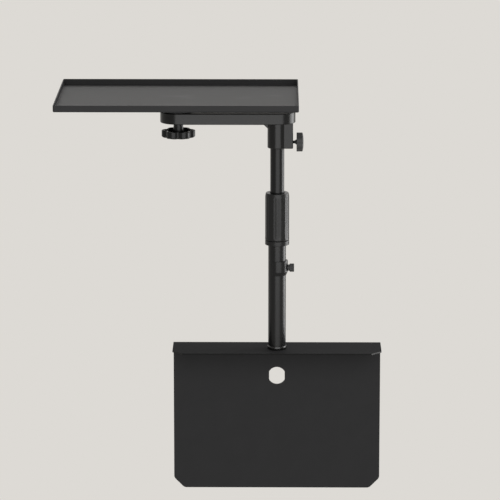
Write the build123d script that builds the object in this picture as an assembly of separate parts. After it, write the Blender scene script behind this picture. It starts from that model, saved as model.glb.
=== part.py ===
from build123d import *
import os

# Portable projector stand: a bent insert plate carries a two-stage pole, a swing arm clamped round
# the pole's top and a shallow tray that swivels on the arm's other end.
# Millimetres. +Z is up, +X is the arm's clamp side, -Y is the side that the flange points to.
# The origin is the centre of the flat back face of the insert plate.

# Insert plate, one bent sheet
PLATE_WIDTH = 300.5
PLATE_HEIGHT = 220.0
PLATE_SHEET = 2.0
BEND_INSIDE = 1.5
FLANGE_DEPTH = 72.0
CORNER_CUT = 15.0
CORNER_ROUND = 8.0
KEY_HOLE_DIAMETER = 25.6
KEY_HOLE_FLATS = 22.6
KEY_HOLE_DROP = 50.4
POLE_SETBACK = 41.0

# Pole foot: ring above the flange, bolt and washer below it, plug in the tube's end
FOOT_RING_DIAMETER = 27.4
FOOT_RING_HEIGHT = 6.0
FOOT_RING_BREAK = 0.8
FOOT_BOLT_DIAMETER = 8.0
FOOT_BOLT_HEAD_DIAMETER = 15.0
FOOT_BOLT_HEAD_HEIGHT = 3.2
FOOT_BOLT_HEAD_BREAK = 1.5
FOOT_BOLT_SOCKET = 5.0
FOOT_BOLT_SOCKET_DEPTH = 2.0
FOOT_WASHER_DIAMETER = 20.0
FOOT_WASHER_THICKNESS = 1.0
FOOT_PLUG_HEIGHT = 11.0

# Tubes
LOWER_TUBE_DIAMETER = 25.4
LOWER_TUBE_LENGTH = 205.0
UPPER_TUBE_DIAMETER = 20.0
UPPER_TUBE_LENGTH = 253.0
UPPER_TUBE_SHOWN = 65.0
TUBE_WALL = 1.5
GUIDE_BUSH_LENGTH = 20.0

# Twist lock at the top of the lower tube
LOCK_DIAMETER = 34.6
LOCK_GRIP_SKIRT = 44.3
LOCK_GRIP_HEAD = 24.0
LOCK_CAP_HEIGHT = 6.0
LOCK_CAP_TAPER = 1.0
LOCK_RING_HEIGHT = 6.5
LOCK_EDGE_BREAK = 1.0
FLUTE_COUNT = 18
FLUTE_RADIUS = 14.0
FLUTE_DEPTH = 0.5
FLUTE_ABOVE_BOTTOM = 3.2

# Safety screw and its saddle on the lower tube
SADDLE_WRAP = 1.4
SADDLE_OFFSET = 1.4
SADDLE_TAIL = 7.5
SADDLE_ABOVE_SCREW = 10.9
SADDLE_BELOW_SCREW = 10.0
SAFETY_SCREW_DROP = 34.5
SAFETY_SCREW_DIAMETER = 6.0
SAFETY_NECK_DIAMETER = 9.2
SAFETY_NECK_LENGTH = 2.2
SAFETY_HEAD_DIAMETER = 12.0
SAFETY_HEAD_LENGTH = 6.4
SAFETY_KNURL_COUNT = 12
SAFETY_KNURL_DEPTH = 0.9

# Clamp hub under the arm
HUB_DIAMETER = 28.0
HUB_HEIGHT = 37.0
HUB_LUG_REACH = 22.4
HUB_LUG_WIDTH = 21.0
HUB_LUG_ROUND = 1.5
HUB_GUSSET_REACH = 9.2
HUB_GUSSET_HEIGHT = 8.7
HUB_GUSSET_WIDTH = 8.0
HUB_SCREW_RISE = 8.2
HUB_SCREW_DIAMETER = 6.0
HUB_KNOB_GAP = 5.0
HUB_KNOB_DIAMETER = 27.2
HUB_KNOB_THICKNESS = 9.8
HUB_KNOB_CORE = 25.0
HUB_KNOB_LOBE = 4.6
HUB_KNOB_VALLEY = 2.0
HUB_KNOB_FLAT = 8.0
HUB_KNOB_CROWN = 1.5
HUB_KNOB_NECK_TOP = 7.6
HUB_KNOB_NECK_BASE = 11.6
HUB_KNOB_NECK_LENGTH = 2.4

# Swing arm
ARM_CENTRES = 140.5
ARM_WIDTH = 51.6
ARM_THICKNESS = 15.3
ARM_EDGE = 0.8

# Tray pivot on the arm
PIVOT_WASHER_DIAMETER = 40.0
PIVOT_WASHER_THICKNESS = 1.2
PIVOT_BOSS_DIAMETER = 38.0
PIVOT_BOSS_HEIGHT = 14.1
PIVOT_BOSS_EDGE = 0.8
PIVOT_THREAD_DEPTH = 10.0
TRAY_BRACKET_LENGTH = 100.0
TRAY_BRACKET_DEPTH = 80.0
TRAY_BRACKET_THICKNESS = 2.2
TRAY_BRACKET_ROUND = 10.0
TRAY_SCREW_DIAMETER = 8.0
TRAY_SCREW_ENTRY = 8.0
TRAY_KNOB_DIAMETER = 48.6
TRAY_KNOB_THICKNESS = 10.2
TRAY_KNOB_CORE = 38.0
TRAY_KNOB_LOBE = 5.5
TRAY_KNOB_VALLEY = 2.5
TRAY_KNOB_FLAT = 41.0
TRAY_KNOB_CROWN = 1.2
TRAY_KNOB_NECK_TOP = 15.0
TRAY_KNOB_NECK_BASE = 19.0
TRAY_KNOB_NECK_LENGTH = 11.2
KNOB_LOBES = 7
KNOB_FIRST_LOBE = -90.0

# Tray
TRAY_LENGTH = 340.8
TRAY_DEPTH = 230.0
TRAY_LIP = 9.5
TRAY_SHEET = 1.5
TRAY_BEND = 0.4
TRAY_CORNER = 2.0

# Clearances: fixed pieces in one another, and pieces that turn or slide
FIT = 0.1
RUN = 0.3

# Heights and axes that follow from the sizes above
bend_outside = BEND_INSIDE + PLATE_SHEET
flange_top = (PLATE_HEIGHT + bend_outside) / 2
plate_foot = flange_top - PLATE_HEIGHT
flange_under = flange_top - PLATE_SHEET
lower_tube_top = flange_top + LOWER_TUBE_LENGTH
lock_shoulder = lower_tube_top + RUN
lock_top = lock_shoulder + LOCK_GRIP_HEAD
lock_split = lower_tube_top - LOCK_GRIP_SKIRT
ring_top = lock_split - RUN
ring_bottom = ring_top - LOCK_RING_HEIGHT
safety_screw_z = ring_bottom - SAFETY_SCREW_DROP
hub_bottom = lock_top + UPPER_TUBE_SHOWN
arm_under = hub_bottom + HUB_HEIGHT
arm_top = arm_under + ARM_THICKNESS
hub_screw_z = hub_bottom + HUB_SCREW_RISE
upper_tube_top = arm_under - RUN
upper_tube_bottom = upper_tube_top - UPPER_TUBE_LENGTH
boss_bottom = arm_top + PIVOT_WASHER_THICKNESS + RUN
bracket_bottom = boss_bottom + PIVOT_BOSS_HEIGHT
tray_bottom = bracket_bottom + TRAY_BRACKET_THICKNESS
tray_knob_top = arm_under - RUN

lower_tube_bore = LOWER_TUBE_DIAMETER - 2 * TUBE_WALL
upper_tube_bore = UPPER_TUBE_DIAMETER - 2 * TUBE_WALL
saddle_radius = LOWER_TUBE_DIAMETER / 2 + SADDLE_WRAP
saddle_face_x = SADDLE_OFFSET + saddle_radius

pole = Pos(0, -POLE_SETBACK, 0)
pivot = Pos(-ARM_CENTRES, -POLE_SETBACK, 0)
standing = (Align.CENTER, Align.CENTER, Align.MIN)


def disc(diameter, low, high, break_edge=0.0):
    """Upright round bar between two heights, with an optional chamfer on its top edge."""
    bar = Pos(0, 0, low) * Cylinder(diameter / 2, high - low, align=standing)
    if break_edge:
        bar = chamfer(bar.edges().group_by(Axis.Z)[-1], break_edge)
    return bar


def ring(outer, inner, low, high):
    """Upright tube between two heights."""
    return disc(outer, low, high) - disc(inner, low, high)


def turned(points):
    """Body of revolution about the upright axis from (radius, height) corners."""
    profile = make_face(Polyline(*points, close=True))
    return revolve(Plane.XZ * profile, Axis.Z)


def cross_bar(diameter, start_x, end_x, height):
    """Round bar along +X through the upright axis's plane, at a height."""
    lying = Plane((start_x, 0, height), x_dir=(0, 1, 0), z_dir=(1, 0, 0))
    return lying * Cylinder(diameter / 2, end_x - start_x, align=standing)


def insert_plate():
    """Upright plate whose top is bent forward into the flange, with cut corners and the keyed hole."""
    section = make_face(
        Polyline(
            (0, plate_foot),
            (0, flange_top),
            (-FLANGE_DEPTH, flange_top),
            (-FLANGE_DEPTH, flange_under),
            (-PLATE_SHEET, flange_under),
            (-PLATE_SHEET, plate_foot),
            close=True,
        )
    )
    outer_bend = section.vertices().sort_by(lambda v: v.X + v.Y)[-1]
    section = fillet(outer_bend, bend_outside)
    inner_bend = section.vertices().sort_by_distance((-PLATE_SHEET, flange_under))[0]
    section = fillet(inner_bend, BEND_INSIDE)
    sheet = extrude(Plane.YZ * section, PLATE_WIDTH / 2, both=True)

    front = Rectangle(PLATE_WIDTH, PLATE_HEIGHT)
    low_corners = front.vertices().group_by(Axis.Y)[0]
    front = chamfer(low_corners, CORNER_CUT)
    low_corners = front.vertices().sort_by(Axis.Y)[:4]
    front = fillet(low_corners, CORNER_ROUND)
    front_stock = Plane.XZ * Pos(0, flange_top - PLATE_HEIGHT / 2) * front
    sheet &= extrude(front_stock, FLANGE_DEPTH, both=True)

    plan = Rectangle(PLATE_WIDTH, FLANGE_DEPTH)
    fore_corners = plan.vertices().group_by(Axis.Y)[0]
    plan = chamfer(fore_corners, CORNER_CUT)
    plan_stock = Pos(0, -FLANGE_DEPTH / 2) * plan
    sheet &= extrude(plan_stock, PLATE_HEIGHT, both=True)

    key_hole = Circle(KEY_HOLE_DIAMETER / 2) & Rectangle(KEY_HOLE_FLATS, KEY_HOLE_DIAMETER)
    key_stock = Plane.XZ * Pos(0, flange_top - KEY_HOLE_DROP) * key_hole
    sheet -= extrude(key_stock, PLATE_SHEET, both=True)
    sheet -= pole * disc(FOOT_BOLT_DIAMETER + 2 * RUN, flange_under, flange_top)
    return sheet


def foot_ring():
    """Bevelled ring that beds the tube on the flange."""
    body = disc(FOOT_RING_DIAMETER, flange_top, flange_top + FOOT_RING_HEIGHT, FOOT_RING_BREAK)
    body -= disc(LOWER_TUBE_DIAMETER + 2 * FIT, flange_top, flange_top + FOOT_RING_HEIGHT)
    return pole * body


def foot_plug():
    """Threaded plug fixed in the lower tube's end, which takes the foot bolt."""
    bore = FOOT_BOLT_DIAMETER + 2 * FIT
    return pole * ring(lower_tube_bore - 2 * FIT, bore, flange_top, flange_top + FOOT_PLUG_HEIGHT)


def foot_washer():
    """Flat washer under the flange."""
    low = flange_under - FOOT_WASHER_THICKNESS
    return pole * ring(FOOT_WASHER_DIAMETER, FOOT_BOLT_DIAMETER + 2 * FIT, low, flange_under)


def foot_bolt():
    """Button-head bolt that draws the tube's plug down on the flange."""
    seat = flange_under - FOOT_WASHER_THICKNESS
    crown = seat - FOOT_BOLT_HEAD_HEIGHT
    head = disc(FOOT_BOLT_HEAD_DIAMETER, crown, seat)
    head = chamfer(head.edges().group_by(Axis.Z)[0], FOOT_BOLT_HEAD_BREAK)
    socket = extrude(Pos(0, 0, crown) * RegularPolygon(FOOT_BOLT_SOCKET / 2, 6, major_radius=False),
                     FOOT_BOLT_SOCKET_DEPTH)
    shank = disc(FOOT_BOLT_DIAMETER, seat, flange_top + FOOT_PLUG_HEIGHT)
    return pole * (head - socket + shank)


def lower_tube():
    """Outer tube of the pole, drilled on its +X side for the safety screw."""
    body = ring(LOWER_TUBE_DIAMETER, lower_tube_bore, flange_top, lower_tube_top)
    body -= cross_bar(SAFETY_SCREW_DIAMETER + 2 * RUN, 0, LOWER_TUBE_DIAMETER, safety_screw_z)
    return pole * body


def screw_saddle():
    """Crescent boss wrapped on the lower tube's +X side."""
    high = safety_screw_z + SADDLE_ABOVE_SCREW
    low = safety_screw_z - SADDLE_BELOW_SCREW
    body = Pos(SADDLE_OFFSET, 0, 0) * disc(2 * saddle_radius, low, high)
    body -= disc(LOWER_TUBE_DIAMETER + 2 * FIT, low, high)
    keep = Pos(-SADDLE_TAIL, 0, low) * Box(
        SADDLE_TAIL + saddle_face_x, 2 * saddle_radius, high - low,
        align=(Align.MIN, Align.CENTER, Align.MIN))
    body &= keep
    body -= cross_bar(SAFETY_SCREW_DIAMETER + 2 * RUN, 0, saddle_face_x, safety_screw_z)
    return pole * body


def safety_screw_shank():
    """Shank of the safety screw, from its head to just short of the upper tube."""
    tip = UPPER_TUBE_DIAMETER / 2 + RUN
    base = saddle_face_x + RUN + SAFETY_NECK_LENGTH
    return pole * cross_bar(SAFETY_SCREW_DIAMETER, tip, base, safety_screw_z)


def safety_screw_head():
    """Knurled head of the safety screw with its neck."""
    neck_low = saddle_face_x + RUN
    head_low = neck_low + SAFETY_NECK_LENGTH
    outline = Circle(SAFETY_HEAD_DIAMETER / 2)
    notch = RegularPolygon(SAFETY_KNURL_DEPTH, 4)
    outline -= PolarLocations(SAFETY_HEAD_DIAMETER / 2, SAFETY_KNURL_COUNT) * notch
    lying = Plane((0, 0, safety_screw_z), x_dir=(0, 1, 0), z_dir=(1, 0, 0))
    head = lying * Pos(0, 0, head_low) * extrude(outline, SAFETY_HEAD_LENGTH)
    neck = cross_bar(SAFETY_NECK_DIAMETER, neck_low, head_low, safety_screw_z)
    neck -= cross_bar(SAFETY_SCREW_DIAMETER + 2 * FIT, neck_low, head_low, safety_screw_z)
    return pole * (head + neck)


def lock_ring():
    """Fixed ring of the twist lock on the lower tube."""
    body = disc(LOCK_DIAMETER, ring_bottom, ring_top, LOCK_EDGE_BREAK)
    return pole * (body - disc(LOWER_TUBE_DIAMETER + 2 * FIT, ring_bottom, ring_top))


def lock_grip():
    """Turning sleeve of the twist lock: a stepped bore, and shallow flutes that run out on the cap."""
    outer = LOCK_DIAMETER / 2
    skirt_bore = LOWER_TUBE_DIAMETER / 2 + RUN
    head_bore = UPPER_TUBE_DIAMETER / 2 + RUN
    body = turned([
        (skirt_bore, lock_split),
        (outer - LOCK_EDGE_BREAK, lock_split),
        (outer, lock_split + LOCK_EDGE_BREAK),
        (outer, lock_top - LOCK_CAP_HEIGHT),
        (outer - LOCK_CAP_TAPER, lock_top),
        (head_bore, lock_top),
        (head_bore, lock_shoulder),
        (skirt_bore, lock_shoulder),
    ])

    cutter = disc(2 * FLUTE_RADIUS, lock_split + FLUTE_ABOVE_BOTTOM, lock_top)
    flute_axis = outer - FLUTE_DEPTH + FLUTE_RADIUS
    body -= PolarLocations(flute_axis, FLUTE_COUNT) * cutter
    return pole * body


def guide_bush():
    """Plastic bush in the lower tube's mouth, in which the upper tube slides."""
    body = ring(lower_tube_bore - 2 * FIT, UPPER_TUBE_DIAMETER + 2 * RUN,
                lower_tube_top - GUIDE_BUSH_LENGTH, lower_tube_top)
    return pole * body


def upper_tube():
    """Inner tube of the pole, which slides in the lower tube and carries the arm."""
    return pole * ring(UPPER_TUBE_DIAMETER, upper_tube_bore, upper_tube_bottom, upper_tube_top)


def clamp_hub():
    """Sleeve under the arm with a flat-sided lug for the clamp screw and a small gusset opposite."""
    lug_plan = Rectangle(HUB_LUG_REACH, HUB_LUG_WIDTH, align=(Align.MIN, Align.CENTER))
    lug = Pos(0, 0, hub_bottom) * extrude(lug_plan, HUB_HEIGHT)
    outer_corners = lug.edges().filter_by(Axis.Z).group_by(Axis.X)[-1]
    lug = fillet(outer_corners, HUB_LUG_ROUND)
    body = disc(HUB_DIAMETER, hub_bottom, arm_under) + lug
    root_x = -HUB_DIAMETER / 2
    web = make_face(
        Polyline(
            (0, arm_under),
            (root_x - HUB_GUSSET_REACH, arm_under),
            (root_x, arm_under - HUB_GUSSET_HEIGHT),
            (0, arm_under - HUB_GUSSET_HEIGHT),
            close=True,
        )
    )
    body += extrude(Plane.XZ * web, HUB_GUSSET_WIDTH / 2, both=True)
    body -= disc(UPPER_TUBE_DIAMETER + 2 * RUN, hub_bottom, arm_under)
    body -= cross_bar(HUB_SCREW_DIAMETER + 2 * RUN, 0, HUB_LUG_REACH, hub_screw_z)
    return pole * body


def swing_arm():
    """Flat arm with full round ends, bored at the tray end for the tray screw."""
    outline = SlotCenterToCenter(ARM_CENTRES, ARM_WIDTH)
    body = extrude(Pos(-ARM_CENTRES / 2, 0, arm_under) * outline, ARM_THICKNESS)
    rims = body.edges().group_by(Axis.Z)
    body = chamfer(rims[0] + rims[-1], ARM_EDGE)
    bore = disc(TRAY_SCREW_DIAMETER + 2 * RUN, arm_under, arm_top)
    return pole * body - pivot * bore


def star_knob(diameter, thickness, core, lobe, valley, flat, crown):
    """Lobed hand knob with a lobe towards -Y, its outer face flat, then falling to the rim."""
    lobes = PolarLocations(diameter / 2 - lobe, KNOB_LOBES, start_angle=KNOB_FIRST_LOBE) * Circle(lobe)
    outline = Circle(core / 2) + lobes
    outline = fillet(outline.vertices(), valley)
    crowned = turned([
        (0, 0),
        (flat / 2, 0),
        (diameter / 2, crown),
        (diameter / 2, thickness),
        (0, thickness),
    ])
    return extrude(outline, thickness) & crowned


def knob_neck(base, top, length):
    """Tapered neck that stands on a knob's inner face."""
    return Cone(base / 2, top / 2, length, align=standing)


def tray_knob():
    """Star knob under the arm that clamps the tray's pivot."""
    low = tray_knob_top - TRAY_KNOB_NECK_LENGTH - TRAY_KNOB_THICKNESS
    body = star_knob(TRAY_KNOB_DIAMETER, TRAY_KNOB_THICKNESS, TRAY_KNOB_CORE, TRAY_KNOB_LOBE,
                     TRAY_KNOB_VALLEY, TRAY_KNOB_FLAT, TRAY_KNOB_CROWN)
    neck = knob_neck(TRAY_KNOB_NECK_BASE, TRAY_KNOB_NECK_TOP, TRAY_KNOB_NECK_LENGTH)
    body += Pos(0, 0, TRAY_KNOB_THICKNESS) * neck
    body -= disc(TRAY_SCREW_DIAMETER + 2 * FIT, TRAY_KNOB_THICKNESS,
                 TRAY_KNOB_THICKNESS + TRAY_KNOB_NECK_LENGTH)
    return pivot * Pos(0, 0, low) * body


def tray_screw():
    """Screw moulded into the tray knob, through the arm into the pivot boss."""
    low = tray_knob_top - TRAY_KNOB_NECK_LENGTH
    return pivot * disc(TRAY_SCREW_DIAMETER, low, boss_bottom + TRAY_SCREW_ENTRY)


def hub_axis(x):
    """Place on the hub screw's axis whose local +Z points back to the pole."""
    return pole * Plane((x, 0, hub_screw_z), x_dir=(0, 0, 1), z_dir=(-1, 0, 0)).location


def hub_knob():
    """Star knob on the hub's lug that clamps the arm to the upper tube."""
    outer_face = HUB_LUG_REACH + HUB_KNOB_GAP + HUB_KNOB_THICKNESS
    body = star_knob(HUB_KNOB_DIAMETER, HUB_KNOB_THICKNESS, HUB_KNOB_CORE, HUB_KNOB_LOBE,
                     HUB_KNOB_VALLEY, HUB_KNOB_FLAT, HUB_KNOB_CROWN)
    neck = knob_neck(HUB_KNOB_NECK_BASE, HUB_KNOB_NECK_TOP, HUB_KNOB_NECK_LENGTH)
    body += Pos(0, 0, HUB_KNOB_THICKNESS) * neck
    body -= disc(HUB_SCREW_DIAMETER + 2 * FIT, HUB_KNOB_THICKNESS, HUB_KNOB_THICKNESS + HUB_KNOB_NECK_LENGTH)
    return hub_axis(outer_face) * body


def hub_screw():
    """Screw moulded into the hub knob, up to just short of the upper tube."""
    tip = UPPER_TUBE_DIAMETER / 2 + RUN
    base = HUB_LUG_REACH + HUB_KNOB_GAP
    return pole * cross_bar(HUB_SCREW_DIAMETER, tip, base, hub_screw_z)


def pivot_washer():
    """Plain bearing washer between the arm and the pivot boss."""
    bore = TRAY_SCREW_DIAMETER + 2 * RUN
    return pivot * ring(PIVOT_WASHER_DIAMETER, bore, arm_top, arm_top + PIVOT_WASHER_THICKNESS)


def pivot_boss():
    """Round boss under the tray that turns on the washer and takes the tray screw."""
    body = disc(PIVOT_BOSS_DIAMETER, boss_bottom, bracket_bottom)
    body = chamfer(body.edges().group_by(Axis.Z)[0], PIVOT_BOSS_EDGE)
    body -= disc(TRAY_SCREW_DIAMETER + 2 * RUN, boss_bottom, boss_bottom + PIVOT_THREAD_DEPTH)
    return pivot * body


def tray_bracket():
    """Round-cornered plate that spreads the boss's load under the tray."""
    outline = RectangleRounded(TRAY_BRACKET_LENGTH, TRAY_BRACKET_DEPTH, TRAY_BRACKET_ROUND)
    return pivot * extrude(Pos(0, 0, bracket_bottom) * outline, TRAY_BRACKET_THICKNESS)


def tray_stock(inset, floor, corner, bend):
    """Block of the tray's plan, inset all round, from a floor height to the lip's top."""
    outline = RectangleRounded(TRAY_LENGTH - 2 * inset, TRAY_DEPTH - 2 * inset, corner)
    block = extrude(Pos(0, 0, floor) * outline, tray_bottom + TRAY_LIP - floor)
    return fillet(block.edges().group_by(Axis.Z)[0], bend)


def tray_pan():
    """Shallow sheet tray with a raised lip on all four sides."""
    outside = tray_stock(0, tray_bottom, TRAY_CORNER, TRAY_BEND + TRAY_SHEET)
    inside = tray_stock(TRAY_SHEET, tray_bottom + TRAY_SHEET, TRAY_CORNER - TRAY_SHEET, TRAY_BEND)
    return pivot * (outside - inside)


PIECES = [
    insert_plate, foot_ring, foot_plug, foot_washer, foot_bolt, lower_tube, screw_saddle,
    safety_screw_shank, safety_screw_head, lock_ring, lock_grip, guide_bush, upper_tube,
    clamp_hub, swing_arm, hub_knob, hub_screw, pivot_washer, pivot_boss, tray_bracket,
    tray_pan, tray_knob, tray_screw,
]

os.makedirs("parts", exist_ok=True)
for piece in PIECES:
    export_step(piece(), f"parts/{piece.__name__}.step")
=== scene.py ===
"""Dressed model of a portable projector stand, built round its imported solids.

The solids give every place and main size in metres, with +Z up the pole and -Y towards the viewer. Each
visible solid is either given a finish or replaced by a smooth surface with the rounded edges, flutes, knurls
and threads of the real piece, which rides on the same body.
"""

import logging
import math
from dataclasses import dataclass, field
from enum import Enum, auto
from typing import Mapping, Optional, Sequence, Union

import bpy
import numpy as np
from numpy.typing import NDArray
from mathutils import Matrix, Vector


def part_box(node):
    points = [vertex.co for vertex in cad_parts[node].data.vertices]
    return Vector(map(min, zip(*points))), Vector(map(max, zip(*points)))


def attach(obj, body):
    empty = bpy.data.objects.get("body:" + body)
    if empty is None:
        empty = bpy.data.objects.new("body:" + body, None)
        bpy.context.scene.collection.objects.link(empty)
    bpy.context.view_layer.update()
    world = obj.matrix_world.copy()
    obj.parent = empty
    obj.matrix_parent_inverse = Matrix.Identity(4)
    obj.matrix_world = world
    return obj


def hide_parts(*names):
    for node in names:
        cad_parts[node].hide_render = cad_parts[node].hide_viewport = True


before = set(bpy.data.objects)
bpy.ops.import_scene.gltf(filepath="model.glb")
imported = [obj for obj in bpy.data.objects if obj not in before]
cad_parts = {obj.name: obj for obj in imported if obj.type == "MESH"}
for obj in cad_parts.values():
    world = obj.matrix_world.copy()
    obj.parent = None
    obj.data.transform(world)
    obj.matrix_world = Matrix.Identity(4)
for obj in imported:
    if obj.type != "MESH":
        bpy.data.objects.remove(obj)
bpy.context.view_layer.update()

LOG = logging.getLogger("projector_stand")
MM = 0.001
FULL_TURN = 2 * math.pi
QUARTER_TURN = math.pi / 2
SAME_POINT = 1e-7
NOISE_MIDDLE = 0.5

# Radii of small edges, from one that looks sharp to one that a moulding has.
SHARP = 0.1 * MM
CRISP = 0.2 * MM
EASED = 0.3 * MM
SOFT = 0.4 * MM

Array = NDArray[np.float64]
Index = NDArray[np.int64]


class Body(Enum):
    """Bodies of the stand that new pieces ride on."""

    STAND = "stand"
    LOCK = "twist_lock"
    SAFETY_SCREW = "safety_screw"
    ARM = "arm"
    CLAMP_KNOB = "clamp_knob"
    TRAY = "tray"
    TRAY_CLAMP = "tray_clamp"


class Slot(Enum):
    """Finish slots of the record."""

    PLATE = "plate_coat"
    TUBE = "tube_coat"
    ARM = "arm_coat"
    TRAY = "tray_coat"
    LOCK = "lock_plastic"
    KNOB = "knob_plastic"
    SCREW = "screw_steel"
    BUSH = "bush_plastic"


class Cap(Enum):
    """How the first and last loop of a skin are closed."""

    RING = auto()
    POLE = auto()
    STRIPS = auto()


class Stance(Enum):
    """How a skin that is worked out upright is turned into place, as rows of a matrix."""

    UPRIGHT = ((1, 0, 0), (0, 1, 0), (0, 0, 1))
    OUTWARD = ((0, 0, 1), (0, 1, 0), (1, 0, 0))
    TO_POLE = ((0, 0, -1), (0, 1, 0), (1, 0, 0))
    ON_EDGE = ((1, 0, 0), (0, 0, 1), (0, 1, 0))


def turns(columns: int) -> Array:
    """Evenly spaced angles of one full turn."""
    return np.linspace(0, FULL_TURN, columns, endpoint=False)


def soft_step(value: Array, start: float, end: float) -> Array:
    """Smooth rise from 0 at start to 1 at end: 3 t^2 - 2 t^3 of the clipped share t of the way."""
    t = np.clip((value - start) / (end - start), 0, 1)
    return t * t * (3 - 2 * t)


@dataclass(frozen=True)
class Extent:
    """Box of a solid at rest, in metres."""

    low: Array
    high: Array

    @classmethod
    def of(cls, node: str) -> "Extent":
        """Reads the box of a solid from the frame."""
        low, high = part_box(node)
        return cls(np.array(low), np.array(high))

    @property
    def middle(self) -> Array:
        """Centre of the box."""
        return (self.low + self.high) / 2

    @property
    def size(self) -> Array:
        """Lengths of the box along the three axes."""
        return self.high - self.low

    @property
    def axis(self) -> Array:
        """Point at height zero on the upright line through the centre."""
        return self.middle * (1, 1, 0)

    @property
    def radius(self) -> float:
        """Radius of an upright round solid."""
        return self.size[0] / 2

    @property
    def heights(self) -> tuple[float, float]:
        """Lowest and highest height."""
        return self.low[2], self.high[2]


@dataclass(frozen=True)
class Line:
    """Line in a plane, with the unit normal on the right of travel at each point.

    On a closed line that runs anticlockwise the normals point outwards. HOLD is how far beside an arc the
    points lie that keep a run flat, as a share of the arc's radius.
    """

    points: Array
    normals: Array

    HOLD = 0.6

    @classmethod
    def rounded(cls, corners: Sequence[Sequence[float]], closed: bool = True, steps: int = 8) -> "Line":
        """Straight runs whose corners are rounded by arcs.

        An arc's centre lies at radius / cos(half the turn) from its corner along the bisector, and its
        normals turn evenly from that of the run before to that of the run after. A point just before and one
        just after each arc keep the shading of the runs flat.

        Args:
            corners: Corners as (x, y, radius). The radius at the two ends of an open line isn't used.
            closed: Whether the last corner runs on to the first.
            steps: Straight pieces in each arc.

        Returns:
            The rounded line, with no point twice.
        """
        table = np.asarray(corners, float)
        spots = np.vstack([table[-1:], table, table[:1]])[:, :2] if closed else table[:, :2]
        radius = table[:, 2] if closed else table[1:-1, 2]
        runs = np.diff(spots, axis=0)
        length = np.linalg.norm(runs, axis=1)
        heading = runs / length[:, None]
        right = np.column_stack([heading[:, 1], -heading[:, 0]])
        before, after = heading[:-1], heading[1:]
        cross = before[:, 0] * after[:, 1] - before[:, 1] * after[:, 0]
        turn = np.arctan2(cross, (before * after).sum(axis=1))
        side = np.where(turn < 0, -1.0, 1.0)
        bisector = right[:-1] + right[1:]
        bisector /= np.linalg.norm(bisector, axis=1)[:, None]
        centre = spots[1:-1] - (side * radius / np.cos(turn / 2))[:, None] * bisector
        start = np.arctan2(right[:-1, 1], right[:-1, 0])
        angle = start[:, None] + turn[:, None] * np.linspace(0, 1, steps + 1)
        normal = np.stack([np.cos(angle), np.sin(angle)], axis=-1)
        arc = centre[:, None] + (side * radius)[:, None, None] * normal

        tangent = radius * np.tan(np.abs(turn) / 2)
        taken = np.concatenate([tangent[-1:], tangent, tangent[:1]]) if closed else np.pad(tangent, 1)
        third = np.maximum(length - taken[:-1] - taken[1:], 0) / 3
        lead_in = np.minimum(cls.HOLD * radius, third[:-1])[:, None] * before
        lead_out = np.minimum(cls.HOLD * radius, third[1:])[:, None] * after
        first, last = arc[:, :1] - lead_in[:, None], arc[:, -1:] + lead_out[:, None]
        points = np.concatenate([first, arc, last], axis=1).reshape(-1, 2)
        normals = np.concatenate([normal[:, :1], normal, normal[:, -1:]], axis=1).reshape(-1, 2)
        if not closed:
            points = np.vstack([spots[:1], points, spots[-1:]])
            normals = np.vstack([right[:1], normals, right[-1:]])
        keep = np.linalg.norm(points - np.roll(points, -1, axis=0), axis=1) > SAME_POINT
        return cls(points[keep], normals[keep])

    @classmethod
    def rectangle(cls, middle: Array, size: Array, radius: float, steps: int) -> "Line":
        """Rectangle with rounded corners, which starts and ends on its lower run.

        Args:
            middle: Centre in the plane.
            size: Lengths along the two axes.
            radius: Corner radius. Half the width makes full round ends.
            steps: Straight pieces in each arc.

        Returns:
            The closed line.
        """
        left, front = middle[:2] - size[:2] / 2
        right, back = middle[:2] + size[:2] / 2
        corners = [(right, front), (right, back), (left, back), (left, front)]
        return cls.rounded([(*corner, radius) for corner in corners], steps=steps)

    @classmethod
    def star(cls, lobes: int, tip: float, valley: float, lobe_radius: float, columns: int) -> "Line":
        """Ring of round lobes with round valleys between them, in polar form.

        With c the distance of a lobe's centre, d that of a valley's centre and t or s the angle from the
        lobe's or the valley's middle, the radius is c cos t + sqrt(l^2 - c^2 sin^2 t) on a lobe of radius l,
        and d cos s - sqrt(v^2 - d^2 sin^2 s) in a valley of radius v. v makes the two arcs touch without a
        corner.

        Args:
            lobes: How many lobes.
            tip: Radius at a lobe's tip.
            valley: Radius at a valley's bottom.
            lobe_radius: Radius of a lobe's own circle.
            columns: Points in each lobe.

        Returns:
            The closed line, which starts at the bottom of a valley towards -Y.
        """
        half = math.pi / lobes
        c = tip - lobe_radius
        v = (lobe_radius**2 - c**2 - valley**2 + 2 * c * valley * math.cos(half)) / (
            2 * (valley - c * math.cos(half) - lobe_radius))
        d = valley + v
        reach = lobe_radius / (lobe_radius + v)
        touch = math.atan2(reach * d * math.sin(half), c + reach * (d * math.cos(half) - c))
        turn = turns(lobes * columns) - QUARTER_TURN
        t = np.abs((turn + QUARTER_TURN) % (2 * half) - half)
        s = half - t
        on_lobe = c * np.cos(t) + np.sqrt(np.maximum(lobe_radius**2 - (c * np.sin(t)) ** 2, 0))
        in_valley = d * np.cos(s) - np.sqrt(np.maximum(v**2 - (d * np.sin(s)) ** 2, 0))
        radius = np.where(t < touch, on_lobe, in_valley)
        points = radius[:, None] * np.column_stack([np.cos(turn), np.sin(turn)])
        along = np.roll(points, -1, axis=0) - np.roll(points, 1, axis=0)
        along /= np.linalg.norm(along, axis=1)[:, None]
        return cls(points, np.column_stack([along[:, 1], -along[:, 0]]))

    def bored(self, radius: float) -> "Line":
        """Circle round the origin whose points lie on the rays to this line's points."""
        rays = self.points / np.linalg.norm(self.points, axis=1)[:, None]
        return Line(radius * rays, rays)

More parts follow.
